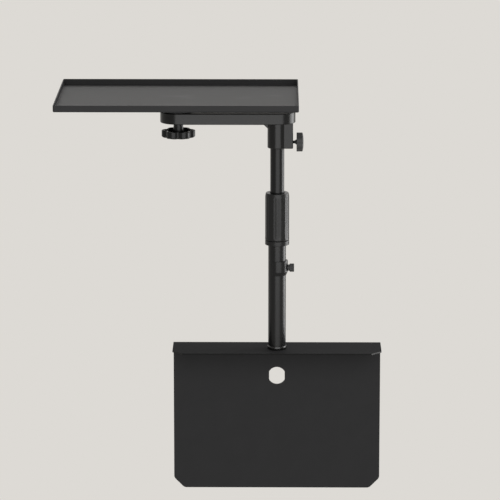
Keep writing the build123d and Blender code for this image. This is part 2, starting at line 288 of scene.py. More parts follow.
    def refined(self, step: float) -> Array:
        """Adds points to this line, taken as closed.

        Args:
            step: How far apart two points may be.

        Returns:
            The line's points with the added ones between them.
        """
        ring = np.vstack([self.points, self.points[:1]])
        run = np.concatenate([[0.0], np.cumsum(np.linalg.norm(np.diff(ring, axis=0), axis=1))])
        stops = np.union1d(run, np.arange(0, run[-1], step))
        stops = stops[np.concatenate([np.diff(stops) > SAME_POINT, [False]])]
        return np.column_stack([np.interp(stops, run, ring[:, 0]), np.interp(stops, run, ring[:, 1])])


@dataclass(frozen=True)
class Skin:
    """Surface as points with four-sided and three-sided faces."""

    points: Array
    quads: Index
    triangles: Index = field(default_factory=lambda: np.empty((0, 3), int))

    @classmethod
    def of_loops(cls, loops: Array, cap: Cap) -> "Skin":
        """Closed surface through a row of closed loops.

        Args:
            loops: Points of shape (rows, columns, 3). Each row is a loop that closes on itself.
            cap: RING joins the last row to the first, POLE closes both with a fan to their middle, and STRIPS
                closes both with strips across a loop that mirrors itself.

        Returns:
            The surface with its faces outwards.
        """
        rows, columns = loops.shape[:2]
        index = np.arange(rows * columns).reshape(rows, columns)
        points = loops.reshape(-1, 3)
        triangles = np.empty((0, 3), int)
        joined = np.vstack([index, index[:1]]) if cap is Cap.RING else index
        here, there = joined[:-1], joined[1:]
        quads = np.stack([here, np.roll(here, -1, 1), np.roll(there, -1, 1), there], axis=-1).reshape(-1, 4)
        if cap is Cap.POLE:
            ends = index[[0, -1]]
            poles = np.broadcast_to(len(points) + np.arange(2)[:, None], ends.shape)
            points = np.vstack([points, loops[[0, -1]].mean(axis=1)])
            fans = np.stack([poles, ends, np.roll(ends, -1, 1)], axis=-1)
            triangles = np.vstack([fans[0][:, ::-1], fans[1]])
        elif cap is Cap.STRIPS:
            k = np.arange(columns // 2 - 1)
            strip = np.stack([k, k + 1, columns - 2 - k, columns - 1 - k], axis=-1)
            quads = np.vstack([quads, index[-1][strip], index[0][strip][:, ::-1]])
        return cls(points, quads, triangles).outward()

    @classmethod
    def turned(cls, section: Array, columns: int, cap: Cap, factor: Union[Array, float] = 1.0) -> "Skin":
        """Section of (radius, height) points carried round the upright axis.

        x = f r cos t, y = f r sin t and z = h, with f the factor at each point and turn.

        Args:
            section: Points of shape (rows, 2).
            columns: Points round the axis.
            cap: How the ends close.
            factor: Scale of the radius, of a shape that fits (rows, columns).

        Returns:
            The turned surface.
        """
        turn = turns(columns)
        radius = np.broadcast_to(section[:, :1] * factor, (len(section), columns))
        height = np.broadcast_to(section[:, 1:], radius.shape)
        return cls.of_loops(np.stack([radius * np.cos(turn), radius * np.sin(turn), height], axis=-1), cap)

    @classmethod
    def ring(cls, inner: float, outer: float, heights: Sequence[float], edges: Sequence[float],
             columns: int) -> "Skin":
        """Ring round the upright axis, its section a rectangle with rounded corners.

        Args:
            inner: Radius of the hole.
            outer: Outer radius.
            heights: Lowest and highest height.
            edges: Radii of the corners, from the outer lower one upwards and round.
            columns: Points round the axis.

        Returns:
            The ring.
        """
        low, high = heights
        corners = zip((outer, outer, inner, inner), (low, high, high, low), edges)
        return cls.turned(Line.rounded(list(corners)).points, columns, Cap.RING)

    @classmethod
    def walled(cls, outer: Line, heights: Sequence[float], edge: float,
               bore: Optional[Line] = None) -> "Skin":
        """Slab of a closed outline between two heights, with its edges rounded.

        Each row is the outline moved in along its normals by the inset of a rounded wall section at that
        height.

        Args:
            outer: Outline of the slab.
            heights: Heights of its lower and upper face.
            edge: Radius of the edges.
            bore: Outline of a hole through it, point for point beside the outer one.

        Returns:
            The slab's surface.
        """
        low, high = heights
        hold = (1 + Line.HOLD) * edge
        corners = [(hold, low, 0), (0, low, edge), (0, high, edge), (hold, high, 0)]
        wall = Line.rounded(corners, False).points
        inset, height = wall[:, 0, None, None], wall[:, 1]
        plan = outer.points - inset * outer.normals
        if bore is not None:
            plan = np.concatenate([plan, (bore.points + inset * bore.normals)[::-1]])
            height = np.concatenate([height, height[::-1]])
        loops = np.dstack([plan, np.broadcast_to(height[:, None], plan.shape[:2])])
        return cls.of_loops(loops, Cap.STRIPS if bore is None else Cap.RING)

    def outward(self) -> "Skin":
        """Turns the faces so that the volume inside the surface is positive.

        Returns:
            This surface, or one with all faces turned round.
        """
        shifted = self.points - self.points.mean(axis=0)
        halves = np.vstack([self.quads[:, :3], self.quads[:, [0, 2, 3]], self.triangles])
        a, b, c = (shifted[halves[:, k]] for k in range(3))
        if np.einsum("ij,ij->", a, np.cross(b, c)) >= 0:
            return self
        return Skin(self.points, self.quads[:, ::-1], self.triangles[:, ::-1])

    def placed(self, place: Sequence[float], stance: Stance = Stance.UPRIGHT) -> "Skin":
        """This surface turned by a stance and then moved to a place."""
        points = self.points @ np.array(stance.value, float).T + np.asarray(place, float)
        return Skin(points, self.quads, self.triangles).outward()

    def thing(self, name: str) -> bpy.types.Object:
        """Makes a smooth-shaded object of this surface at the origin.

        Args:
            name: Name of the object and of its mesh.

        Returns:
            The object, linked to the scene.
        """
        mesh = bpy.data.meshes.new(name)
        mesh.from_pydata(self.points.tolist(), [], self.quads.tolist() + self.triangles.tolist())
        mesh.polygons.foreach_set("use_smooth", np.ones(len(mesh.polygons), bool))
        mesh.update()
        made = bpy.data.objects.new(name, mesh)
        bpy.context.scene.collection.objects.link(made)
        return made


Feed = Union[float, Sequence[float], "Value"]
Feeds = dict[Union[str, int], Feed]


class Value:
    """Output socket of a node, on which arithmetic adds Math nodes."""

    def __init__(self, graph: "Graph", socket: bpy.types.NodeSocket) -> None:
        """Keeps a socket with the graph that it belongs to."""
        self.graph = graph
        self.socket = socket

    def _math(self, operation: str, left: Feed, right: Feed) -> "Value":
        """Adds a Math node for an operation on two feeds."""
        return self.graph.node("ShaderNodeMath", {"operation": operation}, {0: left, 1: right})

    def __add__(self, other: Feed) -> "Value":
        """self + other."""
        return self._math("ADD", self, other)

    def __radd__(self, other: Feed) -> "Value":
        """other + self."""
        return self._math("ADD", other, self)

    def __sub__(self, other: Feed) -> "Value":
        """self - other."""
        return self._math("SUBTRACT", self, other)

    def __rsub__(self, other: Feed) -> "Value":
        """other - self."""
        return self._math("SUBTRACT", other, self)

    def __mul__(self, other: Feed) -> "Value":
        """self * other."""
        return self._math("MULTIPLY", self, other)

    def __rmul__(self, other: Feed) -> "Value":
        """other * self."""
        return self._math("MULTIPLY", other, self)

    def above(self, start: float, end: float) -> "Value":
        """Smooth rise from 0 at start to 1 at end."""
        return self.graph.node("ShaderNodeMapRange", {"clamp": True, "interpolation_type": "SMOOTHSTEP"},
                               {"Value": self, "From Min": start, "From Max": end})


class Graph:
    """Node graph of a material or of the world."""

    def __init__(self, owner: Union[bpy.types.Material, bpy.types.World]) -> None:
        """Switches the owner to nodes and clears what it has.

        Args:
            owner: Material or world that the graph is for.
        """
        owner.use_nodes = True
        self.tree = owner.node_tree
        self.tree.nodes.clear()

    def node(self, kind: str, settings: Optional[Mapping[str, object]] = None,
             feeds: Optional[Mapping[Union[str, int], Feed]] = None, output: Union[str, int] = 0) -> Value:
        """Adds a node.

        Args:
            kind: Node type.
            settings: Properties of the node, set first.
            feeds: Values or links of its inputs, by name or number.
            output: Which output is given back.

        Returns:
            The output, as a value for expressions.
        """
        made = self.tree.nodes.new(kind)
        for name, setting in (settings or {}).items():
            setattr(made, name, setting)
        for name, feed in (feeds or {}).items():
            if isinstance(feed, Value):
                self.tree.links.new(feed.socket, made.inputs[name])
            else:
                made.inputs[name].default_value = feed
        return Value(self, made.outputs[output] if len(made.outputs) else None)

    def noise(self, where: Value, scale: float, detail: float) -> Value:
        """Noise from 0 to 1 with so many grains to the metre and so much finer detail on them."""
        return self.node("ShaderNodeTexNoise", {"noise_dimensions": "3D"},
                         {"Vector": where, "Scale": scale, "Detail": detail}, "Fac")

    def mix(self, share: Feed, first: Feed, second: Feed) -> Value:
        """Colour between two others, through the node's sockets for colours."""
        return self.node("ShaderNodeMix", {"data_type": "RGBA"}, {"Factor": share, 6: first, 7: second}, 2)

    def stretched(self, where: Value, scale: Sequence[float]) -> Value:
        """Coordinates scaled along each axis."""
        return self.node("ShaderNodeMapping", {"vector_type": "POINT"}, {"Vector": where, "Scale": scale})

    def bump(self, height: Value, distance: float) -> Value:
        """Normal of a relief whose height of 0 to 1 stands for a distance in metres."""
        return self.node("ShaderNodeBump", {}, {"Height": height, "Distance": distance})


@dataclass(frozen=True)
class Finish:
    """Surface finish: a colour that wanders a little, a fine grain and a gloss."""

    name: str
    colour: tuple[float, float, float]
    roughness: float
    specular: float
    grain: float
    relief: float
    wander: float = 0.12
    cloud: float = 35.0

    def material(self) -> bpy.types.Material:
        """Makes the finish's material once, and gives the same one after that.

        Returns:
            The material.
        """
        made = bpy.data.materials.get(self.name)
        if made is None:
            made = bpy.data.materials.new(self.name)
            graph = Graph(made)
            where = graph.node("ShaderNodeTexCoord", output="Object")
            shader = graph.node("ShaderNodeBsdfPrincipled", {}, self.feeds(graph, where))
            graph.node("ShaderNodeOutputMaterial", {}, {"Surface": shader})
        return made

    def feeds(self, graph: Graph, where: Value) -> Feeds:
        """Inputs of the shader for this finish.

        Args:
            graph: Graph that the nodes go into.
            where: Coordinates of the piece in metres.

        Returns:
            Values and links by the shader's input names.
        """
        raise NotImplementedError

    def surface(self, graph: Graph, share: Value, uneven: Value, height: Value) -> Feeds:
        """Inputs that all finishes have.

        Args:
            graph: Graph that the nodes go into.
            share: How far the colour is from its first tone to its last, 0 to 1.
            uneven: What is added to the roughness.
            height: Relief, 0 to 1.

        Returns:
            Values and links by the shader's input names.
        """
        first, last = (self.tone(1 + step) for step in (-self.wander, self.wander))
        return {
            "Base Color": graph.mix(share, first, last),
            "Roughness": self.roughness + uneven,
            "Specular IOR Level": self.specular,
            "Normal": graph.bump(height, self.relief),
        }

    def tone(self, share: float) -> tuple[float, float, float, float]:
        """The colour made lighter or darker by a share, with full alpha."""
        return (*(min(1.0, channel * share) for channel in self.colour), 1.0)


@dataclass(frozen=True)
class PowderCoat(Finish):
    """Baked powder coat: an orange-peel relief of two sizes, clouded colour and faint rubbed patches."""

    peel_roughness: float = 0.08
    peel_colour: float = 0.5
    fine_ratio: float = 3.7
    fine_share: float = 0.25
    rub_polish: float = 0.05
    rub_ratio: float = 0.4
    rub_stretch: tuple[float, float, float] = (1.0, 1.6, 0.8)
    rub_band: tuple[float, float] = (0.56, 0.74)

    def feeds(self, graph: Graph, where: Value) -> Feeds:
        """Inputs of the shader for this finish.

        Args:
            graph: Graph that the nodes go into.
            where: Coordinates of the piece in metres.

        Returns:
            Values and links by the shader's input names.
        """
        peel = graph.noise(where, 1 / self.grain, detail=3.0)
        fine = graph.noise(where, self.fine_ratio / self.grain, detail=1.0)
        cloud = graph.noise(where, self.cloud, detail=3.0)
        along = graph.stretched(where, self.rub_stretch)
        patches = graph.noise(along, self.cloud * self.rub_ratio, detail=5.0)
        speck = peel * self.peel_colour + cloud * (1 - self.peel_colour)
        rubbed = patches.above(*self.rub_band)
        uneven = (peel - NOISE_MIDDLE) * self.peel_roughness - rubbed * self.rub_polish
        return self.surface(graph, speck, uneven, peel * (1 - self.fine_share) + fine * self.fine_share)


@dataclass(frozen=True)
class TubeCoat(Finish):
    """Satin coat on a drawn tube: hair-fine lines along the tube under a light peel."""

    line_stretch: tuple[float, float, float] = (1.0, 1.0, 0.006)
    line_ratio: float = 2.2
    line_share: float = 0.4
    line_roughness: float = 0.1
    cloud_stretch: tuple[float, float, float] = (1.0, 1.0, 0.25)
    cloud_roughness: float = 0.06

    def feeds(self, graph: Graph, where: Value) -> Feeds:
        """Inputs of the shader for this finish.

        Args:
            graph: Graph that the nodes go into.
            where: Coordinates of the piece in metres.

        Returns:
            Values and links by the shader's input names.
        """
        along = graph.stretched(where, self.line_stretch)
        lines = graph.noise(along, self.line_ratio / self.grain, detail=2.0)
        peel = graph.noise(where, 1 / self.grain, detail=2.0)
        cloud = graph.noise(graph.stretched(where, self.cloud_stretch), self.cloud, detail=2.0)
        uneven = (lines - NOISE_MIDDLE) * self.line_roughness + (cloud - NOISE_MIDDLE) * self.cloud_roughness
        return self.surface(graph, cloud, uneven, peel * (1 - self.line_share) + lines * self.line_share)


@dataclass(frozen=True)
class MouldedPlastic(Finish):
    """Moulded plastic with a spark-eroded grain, a little shinier where hands rub it."""

    fine_ratio: float = 2.3
    fine_share: float = 0.4
    fine_roughness: float = 0.1
    hand_polish: float = 0.06
    hand_band: tuple[float, float] = (0.5, 0.72)

    def feeds(self, graph: Graph, where: Value) -> Feeds:
        """Inputs of the shader for this finish.

        Args:
            graph: Graph that the nodes go into.
            where: Coordinates of the piece in metres.

        Returns:
            Values and links by the shader's input names.
        """
        cells = {"Vector": where, "Scale": 1 / self.grain}
        pits = graph.node("ShaderNodeTexVoronoi", {"feature": "F1"}, cells)
        fine = graph.noise(where, self.fine_ratio / self.grain, detail=1.0)
        cloud = graph.noise(where, self.cloud, detail=4.0)
        handled = cloud.above(*self.hand_band)
        uneven = (fine - NOISE_MIDDLE) * self.fine_roughness - handled * self.hand_polish
        return self.surface(graph, cloud, uneven, pits * (1 - self.fine_share) + fine * self.fine_share)


@dataclass(frozen=True)
class TurnedSteel(Finish):
    """Plated steel with fine turning marks and patches of dull plating, which are darker."""

    wander: float = -0.12
    metallic: float = 1.0
    mark_roughness: float = 0.12
    dull_roughness: float = 0.1
    dull_band: tuple[float, float] = (0.45, 0.7)

    def feeds(self, graph: Graph, where: Value) -> Feeds:
        """Inputs of the shader for this finish.

        Args:
            graph: Graph that the nodes go into.
            where: Coordinates of the piece in metres.

        Returns:
            Values and links by the shader's input names.
        """
        marks = graph.noise(where, 1 / self.grain, detail=2.0)
        dull = graph.noise(where, self.cloud, detail=4.0).above(*self.dull_band)
        uneven = (marks - NOISE_MIDDLE) * self.mark_roughness + dull * self.dull_roughness
        return {"Metallic": self.metallic, **self.surface(graph, dull, uneven, marks)}


# Each finish has a name, a colour, a roughness, a specular level, the size of its grain and its relief.
PLATE_COAT = PowderCoat("plate_powder_coat", (0.0218, 0.0218, 0.0223), 0.82, 0.025, 0.9 * MM, 0.02 * MM)
# Dark colour painted as shade on the plate's cut edges, not a coat of their own.
CUT_EDGE_SHADE_COAT = PowderCoat("plate_cut_edge_painted_shade", (0.004, 0.004, 0.004), 0.28, 0.22, 0.6 * MM, 0.004 * MM)
# Dark matte colour painted as the shade line along the flange's front edge.
FRONT_EDGE_SHADE_COAT = PowderCoat("plate_front_edge_painted_shade", (0.008, 0.008, 0.008), 0.6, 0.04, 0.6 * MM, 0.004 * MM)
ARM_COAT = PowderCoat("arm_powder_coat", (0.005, 0.005, 0.0051), 0.24, 0.19, 0.7 * MM, 0.004 * MM)
# Lighter copy of the arm coat for its top and underside: painted sheen.
ARM_FLAT_SHEEN_COAT = PowderCoat("arm_flat_painted_sheen_coat", (0.012, 0.012, 0.0123), 0.34, 0.19, 0.7 * MM, 0.008 * MM)
TRAY_COAT = PowderCoat("tray_powder_coat", (0.018, 0.018, 0.0185), 0.55, 0.10, 0.8 * MM, 0.010 * MM)
TUBE_COAT = TubeCoat("tube_satin_coat", (0.005, 0.005, 0.0051), 0.28, 0.205, 0.5 * MM, 0.004 * MM)
MAST_COAT = TubeCoat("mast_satin_coat", (0.005, 0.005, 0.0051), 0.28, 0.17, 0.5 * MM, 0.004 * MM)
BEAD_COAT = TubeCoat("foot_ring_gloss_coat", (0.005, 0.005, 0.0051), 0.22, 0.34, 0.5 * MM, 0.002 * MM)
LOCK_PLASTIC = MouldedPlastic("lock_moulded_black", (0.007, 0.007, 0.007), 0.31, 0.19, 0.45 * MM, 0.008 * MM)
KNOB_PLASTIC = MouldedPlastic("knob_moulded_black", (0.006, 0.006, 0.006), 0.27, 0.14, 0.5 * MM, 0.008 * MM)
# Lighter copy of the black knob plastic for the hub knob and the safety screw's head: its colour is painted
# light.
GRIP_LIT_PLASTIC = MouldedPlastic("grip_textured_painted_light", (0.032, 0.032, 0.032), 0.5, 0.12, 0.5 * MM, 0.010 * MM)
SCREW_STEEL = TurnedSteel("screw_plated_steel", (0.36, 0.36, 0.375), 0.34, 0.5, 0.25 * MM, 0.004 * MM)
BLACK_STEEL = TurnedSteel("screw_blackened_steel", (0.02, 0.02, 0.021), 0.42, 0.3, 0.25 * MM, 0.004 * MM)
BUSH_NYLON = MouldedPlastic("bush_dark_nylon", (0.05, 0.05, 0.051), 0.5, 0.3, 0.6 * MM, 0.01 * MM)


class SubAssembly:
    """Group of pieces that are made together."""

    def add(self, skin: Skin, name: str, finish: Finish, body: Body, slot: Slot,
            *nodes: str) -> bpy.types.Object:
        """Makes a piece, dresses it and sets it on its body.

        Args:
            skin: The piece's surface.
            name: Its name.
            finish: Its finish.
            body: Body that it rides on.
            slot: Finish slot of the record; not used.
            nodes: Solids that it stands for.

        Returns:
            The piece's object.
        """
        made = skin.thing(name)
        made.data.materials.append(finish.material())
        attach(made, body.value)
        if nodes:
            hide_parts(*nodes)
        LOG.info("%s: %d points, rides on %s", made.name, len(made.data.vertices), body.value)
        return made

    def dress(self, node: str, finish: Finish) -> None:
        """Gives a finish to a solid that is shown as it is.

        Args:
            node: Name of the solid.
            finish: Its finish.
        """
        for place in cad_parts[node].material_slots:
            place.material = finish.material()
        LOG.info("%s: solid with %s", node, finish.name)

    @staticmethod
    def faces(made: bpy.types.Object, kind: str) -> Array:
        """Reads a vector of each face of a piece.

        Args:
            made: The piece's object.
            kind: Which vector, normal or center.

        Returns:
            The vectors, of shape (faces, 3).
        """
        vectors = np.empty(3 * len(made.data.polygons))
        made.data.polygons.foreach_get(kind, vectors)
        return vectors.reshape(-1, 3)

    @staticmethod
    def recoat(made: bpy.types.Object, choice: Index, *finishes: Finish) -> None:
        """Adds finishes to that of a piece and shares them out among its faces.

        Args:
            made: The piece's object.
            choice: Number of each face's finish, with 0 for the piece's own.
            finishes: The added ones, numbered from 1.
        """
        for finish in finishes:
            made.data.materials.append(finish.material())
        made.data.polygons.foreach_set("material_index", choice)

    def build(self) -> None:
        """Makes the pieces of this group and dresses them."""
        raise NotImplementedError


@dataclass
class InsertPlate(SubAssembly):
    """Bent sheet: an upright plate with a keyed hole, and a flange that its top is folded into."""

    sheet: float = 2.0 * MM
    bend_inside: float = 1.5 * MM
    cut: float = 15.0 * MM
    foot_round: float = 8.0 * MM
    flange_round: float = 1.5 * MM
    hole_diameter: float = 25.6 * MM
    hole_flats: float = 22.6 * MM
    hole_drop: float = 50.4 * MM
    patch: float = 22.0 * MM
    patch_cells: int = 16
    rows_below: int = 6
    rows_above: int = 2
    columns_beside: int = 8
    bend_steps: int = 10
    edge: float = 0.35 * MM
    edge_steps: int = 3
    edge_angle: float = math.radians(50)
    rings: tuple[float, ...] = (0.3, 0.6, 0.85, 0.95, 1.0)

    def build(self) -> None:
        """Makes the bent plate, with painted shade on its cut edges and on the flange's front edge, as darker
        finishes.
        """
        box = Extent.of("insert_plate")
        skin = self.blank(box)
        made = self.add(skin, "insert_plate_sheet", PLATE_COAT, Body.STAND, Slot.PLATE, "insert_plate")
        # The surface is the sheet's outer face, and an offset of -1 grows the sheet inwards from it.
        wall = made.modifiers.new("sheet", "SOLIDIFY")
        wall.thickness, wall.offset, wall.use_even_offset = self.sheet, -1.0, True
        # A cut edge has the finish after that of its face: number 1 after 0, and 3 after 2. These edge
        # finishes are dark colours, painted shade along the sheet's cut edges.
        wall.material_offset_rim = 1
        rim = made.modifiers.new("deburred_edges", "BEVEL")
        rim.width, rim.segments = self.edge, self.edge_steps
        rim.limit_method, rim.angle_limit = "ANGLE", self.edge_angle
        made.modifiers.new("flat_faces", "WEIGHTED_NORMAL")
        # Faces at the flange's front take finish 2, so that their cut edge gets finish 3: painted shade under
        # the flange's front edge.
        painted_shade_front = self.faces(made, "center")[:, 1] < box.low[1] + self.edge
        self.recoat(made, np.where(painted_shade_front, 2, 0), CUT_EDGE_SHADE_COAT, PLATE_COAT, FRONT_EDGE_SHADE_COAT)

    def blank(self, box: Extent) -> Skin:
        """Outer face of the sheet as a grid on the flat blank, then folded.

        On the blank, u runs across and v up, with v = 0 where the bend starts. A row's points are
        u = s * w(v), with w the half width of the outline at v. A square patch of cells round the hole gives
        way to rings of points B + (H - B) t between the patch's border B and the hole's edge H on the same
        ray.

        Args:
            box: Box of the solid.

        Returns:
            The outer face, an open surface.
        """
        bend = self.bend_inside + self.sheet
        arc = (bend - self.sheet / 2) * QUARTER_TURN
        half = box.size[0] / 2
        low, high = box.low[2] - box.high[2] + bend, arc + box.size[1] - bend
        hole_v = bend - self.hole_drop
        foot = self.corner(half, low, self.cut, self.foot_round)
        front = self.corner(half, high, -self.cut, self.flange_round)[::-1]
        levels = np.concatenate([
            np.linspace(low + 2 * self.cut, hole_v - self.patch, self.rows_below + 2)[1:-1],
            np.linspace(hole_v - self.patch, hole_v + self.patch, self.patch_cells + 1),
            np.linspace(hole_v + self.patch, 0, self.rows_above + 2)[1:-1],
            np.linspace(0, arc, self.bend_steps + 1)])
        side = np.vstack([foot, np.column_stack([np.full(len(levels), half), levels]), front])
        reach = self.patch / half
        beside = np.linspace(reach, 1, self.columns_beside + 1)[1:]
        s = np.concatenate([-beside[::-1], np.linspace(-reach, reach, self.patch_cells + 1), beside])
        u, v = side[:, :1] * s, np.broadcast_to(side[:, 1:], (len(side), len(s)))
        flat = np.column_stack([u.ravel(), v.ravel()])

        index = np.arange(u.size).reshape(u.shape)
        row, column = len(foot) + self.rows_below, self.columns_beside
        end_row, end_column = row + self.patch_cells, column + self.patch_cells
        solid = np.ones((len(side) - 1, len(s) - 1), bool)
        solid[row:end_row, column:end_column] = False
        cells = np.stack([index[:-1, :-1], index[1:, :-1], index[1:, 1:], index[:-1, 1:]], axis=-1)[solid]
        border = np.concatenate([
            index[row, column:end_column], index[row:end_row, end_column],
            index[end_row, end_column:column:-1], index[end_row:row:-1, column]])
        inner = self.hole(flat[border] - (0, hole_v)) + (0, hole_v)
        loops = np.vstack([border, len(flat) + np.arange(len(inner)).reshape(len(self.rings), -1)])
        here, there = loops[:-1], loops[1:]
        around = np.stack([here, there, np.roll(there, -1, 1), np.roll(here, -1, 1)], axis=-1).reshape(-1, 4)
        return Skin(self.folded(np.vstack([flat, inner]), box, bend, arc), np.vstack([cells, around]))

    @staticmethod
    def corner(half: float, level: float, cut: float, radius: float) -> Array:
        """Rounded outline of a cut corner, from the edge across to the side, one point at each height.

        Args:
            half: Half width of the plate.
            level: Height of the edge across.
            cut: Size of the cut, negative where the plate lies below the edge.
            radius: Radius of the cut's two corners.

        Returns:
            Points (half width, height).
        """
        inner, outer = half - 2 * abs(cut), half - abs(cut)
        points = Line.rounded([(inner, level, 0), (outer, level, radius), (half, level + cut, radius),
                               (half, level + 2 * cut, 0)], False).points
        return points[np.append(np.abs(np.diff(points[:, 1])) > SAME_POINT, True)]

    def hole(self, spokes: Array) -> Array:
        """Rings of points from the patch's border in to the edge of a round hole with two flats.

        Args:
            spokes: Border of the patch, from the hole's middle.

        Returns:
            Points of all rings in order, from the hole's middle.
        """
        angle = np.arctan2(spokes[:, 1], spokes[:, 0])
        across = self.hole_flats / 2 / np.maximum(np.abs(np.cos(angle)), SAME_POINT)
        radius = np.minimum(self.hole_diameter / 2, across)
        rim = radius[:, None] * np.column_stack([np.cos(angle), np.sin(angle)])
        return (spokes + (rim - spokes) * np.array(self.rings)[:, None, None]).reshape(-1, 2)

    @staticmethod
    def folded(flat: Array, box: Extent, bend: float, arc: float) -> Array:
        """Folds points of the blank.

        Below the bend y = back and z = v; in the bend the point turns by v / arc of a quarter turn about the
        bend's axis; beyond it z = top and y runs forward.

        Args:
            flat: Points (u, v).
            box: Box of the solid.
            bend: Outer radius of the bend.
            arc: Length of the bend on the blank.

        Returns:
            Points in space.
        """
        u, v = flat.T
        turn = np.clip(v / arc, 0, 1) * QUARTER_TURN
        y = box.high[1] - bend + bend * np.cos(turn) - np.maximum(v - arc, 0)
        z = box.high[2] - bend + bend * np.sin(turn) + np.minimum(v, 0)
        return np.column_stack([u + box.middle[0], y, z])


@dataclass
class PoleFoot(SubAssembly):
    """Ring, washer and bolt that hold the pole on the flange."""

    clearance: float = 0.1 * MM
    bead_height: float = 5.2 * MM
    bead_steps: int = 24
    bead_columns: int = 96
    washer_bore: float = 8.2 * MM
    head_height: float = 3.2 * MM
    head_round: float = 2.2 * MM
    shank: float = 8.0 * MM
    tip_round: float = 0.6 * MM
    socket: float = 5.0 * MM
    socket_depth: float = 2.0 * MM
    socket_land: float = 0.12
    socket_flare: float = 0.04
    flare_depth: float = 0.15 * MM
    drill_share: float = 0.5
    drill_depth: float = 0.4 * MM
    columns: int = 72

    def build(self) -> None:
        """Makes the ring, the washer and the bolt.

        The ring's section is half an ellipse: radius = inner + width * cos t and height = low + half *
        (1 + sin t), with t from -90 to 90 degrees.
        """
        tube, ring, washer = (Extent.of(node) for node in ("lower_tube", "foot_ring", "foot_washer"))
        inner = tube.radius + self.clearance
        t = np.linspace(-QUARTER_TURN, QUARTER_TURN, self.bead_steps + 1)
        section = np.column_stack([
            inner + (ring.radius - inner) * np.cos(t), ring.low[2] + self.bead_height / 2 * (1 + np.sin(t))])
        bead = Skin.turned(section, self.bead_columns, Cap.RING).placed(ring.axis)
        self.add(bead, "foot_ring_bead", BEAD_COAT, Body.STAND, Slot.TUBE, "foot_ring")
        disc = Skin.ring(self.washer_bore / 2, washer.radius, washer.heights, 4 * [EASED], self.columns)
        disc = disc.placed(ring.axis)
        self.add(disc, "foot_washer_disc", SCREW_STEEL, Body.STAND, Slot.SCREW, "foot_washer")
        bolt = self.bolt().placed(ring.axis)
        self.add(bolt, "foot_bolt_button", SCREW_STEEL, Body.STAND, Slot.SCREW, "foot_bolt")
        self.dress("foot_plug", BUSH_NYLON)

    def bolt(self) -> Skin:
        """Button-head bolt, head down, turned with a hexagon socket.

        The radius is that of a round section, times cos 30 / cos(t mod 60 - 30) for the rows of the socket,
        which makes a circle a hexagon of the same width across its corners.

        Returns:
            The bolt, upright on the axis through the origin.
        """
        bolt = Extent.of("foot_bolt")
        crown, tip = bolt.heights
        seat, floor = crown + self.head_height, crown + self.socket_depth
        shank, socket = self.shank / 2, self.socket / math.sqrt(3)
        outside = Line.rounded([
            (shank / 2, tip, 0), (shank, tip, self.tip_round), (shank, seat, EASED),
            (bolt.radius, seat, EASED), (bolt.radius, crown, self.head_round),
            (socket * (1 + self.socket_land), crown, 0)], False).points
        inside = np.array([
            (socket * (1 + self.socket_flare), crown), (socket, crown + self.flare_depth),
            (socket, floor - SHARP), (socket * (1 - self.socket_flare), floor),
            (socket * self.drill_share, floor + self.drill_depth)])
        sixth = math.pi / 3
        hexagon = math.cos(sixth / 2) / np.cos(turns(self.columns) % sixth - sixth / 2)
        factor = np.vstack([np.ones((len(outside), self.columns)), np.tile(hexagon, (len(inside), 1))])
        return Skin.turned(np.vstack([outside, inside]), self.columns, Cap.POLE, factor)


@dataclass
class Pole(SubAssembly):
    """Two tubes that slide in one another, and the saddle of the safety screw on the lower one."""

    clearance: float = 0.1 * MM
    offset: float = 1.4 * MM
    tail: float = 7.5 * MM
    taper: float = 5.0 * MM
    taper_share: float = 0.75
    taper_round: float = 3.0 * MM
    shoulder: float = 0.15 * MM
    saddle_rows: int = 73
    seat_radius: float = 4.5 * MM
    seat_gap: float = 0.15 * MM
    seat_sink: float = 2.0 * MM
    seat_columns: int = 64

    def build(self) -> None:
        """Dresses the tubes and makes the saddle."""
        self.dress("lower_tube", TUBE_COAT)
        self.dress("upper_tube", MAST_COAT)
        self.dress("guide_bush", BUSH_NYLON)
        self.add(self.saddle(), "screw_saddle_boss", TUBE_COAT, Body.STAND, Slot.TUBE, "screw_saddle")
        self.add(self.seat(), "screw_saddle_seat", TUBE_COAT, Body.STAND, Slot.TUBE)

    def seat(self) -> Skin:
        """Round seat on the saddle's side, which the safety screw's neck bears on.

        Returns:
            The seat in its place.
        """
        boss, head, shank = (
            Extent.of(node) for node in ("screw_saddle", "safety_screw_head", "safety_screw_shank"))
        start, end = boss.high[0] - self.seat_sink, head.low[0] - self.seat_gap
        bore = shank.size[2] / 2 + self.seat_gap
        edges = (SHARP, CRISP, SHARP, SHARP)
        skin = Skin.ring(bore, self.seat_radius, (0, end - start), edges, self.seat_columns)
        return skin.placed((start, *head.middle[1:]), Stance.OUTWARD)

    def saddle(self) -> Skin:
        """Crescent boss: a rounded wall section carried round the tube between its two tails.

        At a turn t the wall runs from the tube's radius out to the circle of radius R whose centre is o off
        the axis: o cos t + sqrt(R^2 - o^2 sin^2 t). The section's depth is scaled to that wall.

        Returns:
            The saddle in its place.
        """
        tube, boss = Extent.of("lower_tube"), Extent.of("screw_saddle")
        inner = tube.radius + self.clearance
        radius = boss.high[0] - tube.middle[0] - self.offset
        depth = self.offset + radius - inner
        low, high = boss.heights
        section = Line.rounded([
            (0, low, SHARP), ((1 - self.taper_share) * depth, low, SHARP),
            (depth, low + self.taper, self.taper_round), (depth, high, self.shoulder),
            (0, high, SHARP)]).points
        away = math.acos(-(self.tail + self.offset) / radius)
        end = math.atan2(radius * math.sin(away), -self.tail)
        turn = np.linspace(-end, end, self.saddle_rows)[:, None]
        outer = self.offset * np.cos(turn) + np.sqrt(radius**2 - (self.offset * np.sin(turn)) ** 2)
        ray = inner + section[:, 0] / depth * (outer - inner)
        height = np.broadcast_to(section[:, 1], ray.shape)
        loops = np.stack([ray * np.cos(turn), ray * np.sin(turn), height], axis=-1)
        return Skin.of_loops(loops, Cap.POLE).placed(tube.axis)


